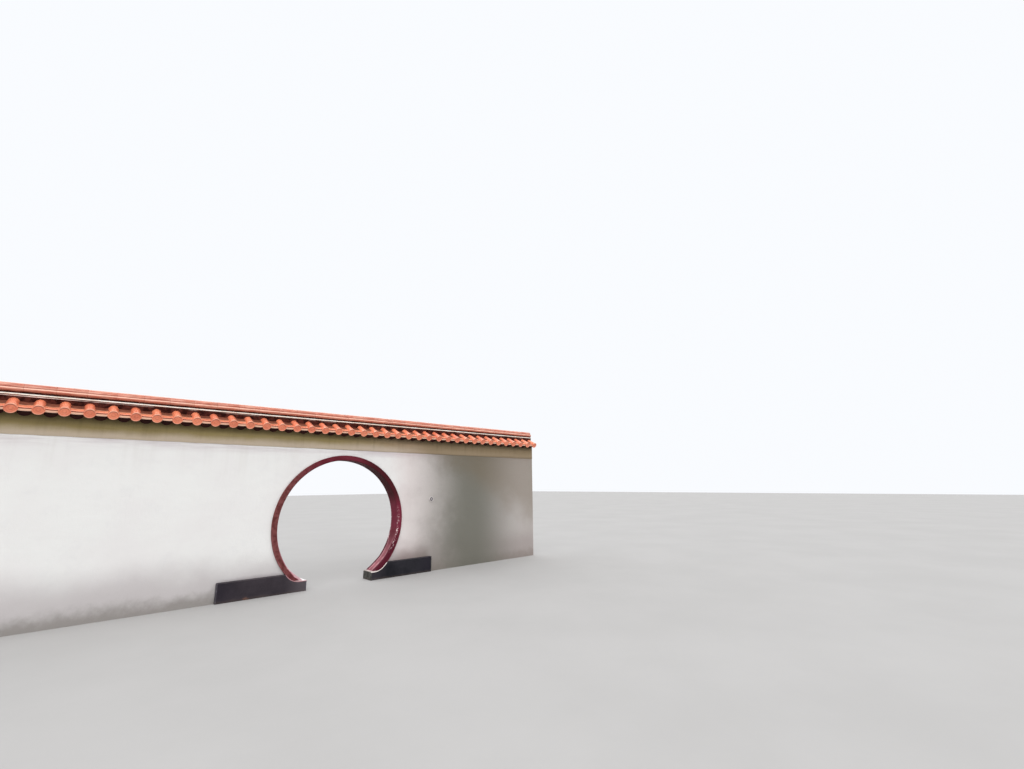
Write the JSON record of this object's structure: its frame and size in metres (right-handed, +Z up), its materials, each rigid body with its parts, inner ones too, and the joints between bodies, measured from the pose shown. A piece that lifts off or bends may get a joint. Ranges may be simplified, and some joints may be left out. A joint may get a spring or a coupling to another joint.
{
  "type": "moon gate",
  "caption": "Plastered garden wall with a round walk-through opening, framed by a painted ring on low stone plinths, under a tiled coping with a ridge.",
  "frame": {"origin": "on the ground in the middle of the opening, in the middle plane of the wall", "axes": "+X along the wall to the right as seen from the front, +Y through the wall to the back, +Z up; the pictured front faces -Y"},
  "size_m": [9.725, 0.578, 2.9937],
  "materials": {
    "plaster": "off-white lime plaster, matt, faintly mottled",
    "frieze_plaster": "off-white plaster stained yellow-brown by rain off the coping",
    "plinth_stone": "dark grey stone, honed, worn pale along its edges",
    "ring_paint": "dark red gloss paint on render, scuffed and chipped on the lower right",
    "tile_glaze": "orange-red glaze, uneven, slightly dirty",
    "dark_glaze": "dark purple-brown glaze, dull",
    "bedding": "dark weathered bedding mortar and brick",
    "pale_mortar": "pale pointing mortar",
    "fixing_grey": "grey, matt"
  },
  "bodies": {
    "root": {"plinth_left": "plinth_stone", "plinth_right": "plinth_stone", "wall_left_run": "plaster", "wall_left_pier": "plaster", "wall_left_springing": "plaster", "wall_left_haunch": "plaster", "wall_crown": "plaster", "wall_right_haunch": "plaster", "wall_right_springing": "plaster", "wall_right_pier": "plaster", "wall_right_run": "plaster", "ring_lining": "ring_paint", "ring_band_front": "ring_paint", "ring_band_back": "ring_paint", "frieze_front": "frieze_plaster", "frieze_back": "frieze_plaster", "coping_bed": "bedding", "pan_tiles_front": "tile_glaze", "pan_tiles_back": "tile_glaze", "drip_tiles_front": "dark_glaze", "drip_tiles_back": "dark_glaze", "roll_tiles_front": "tile_glaze", "roll_tiles_back": "tile_glaze", "ridge_wall": "bedding", "ridge_mortar": "pale_mortar", "ridge_neck": "bedding", "ridge_course": "tile_glaze", "ridge_cap": "tile_glaze", "wall_fixing": "fixing_grey"}
  },
  "joints": []
}
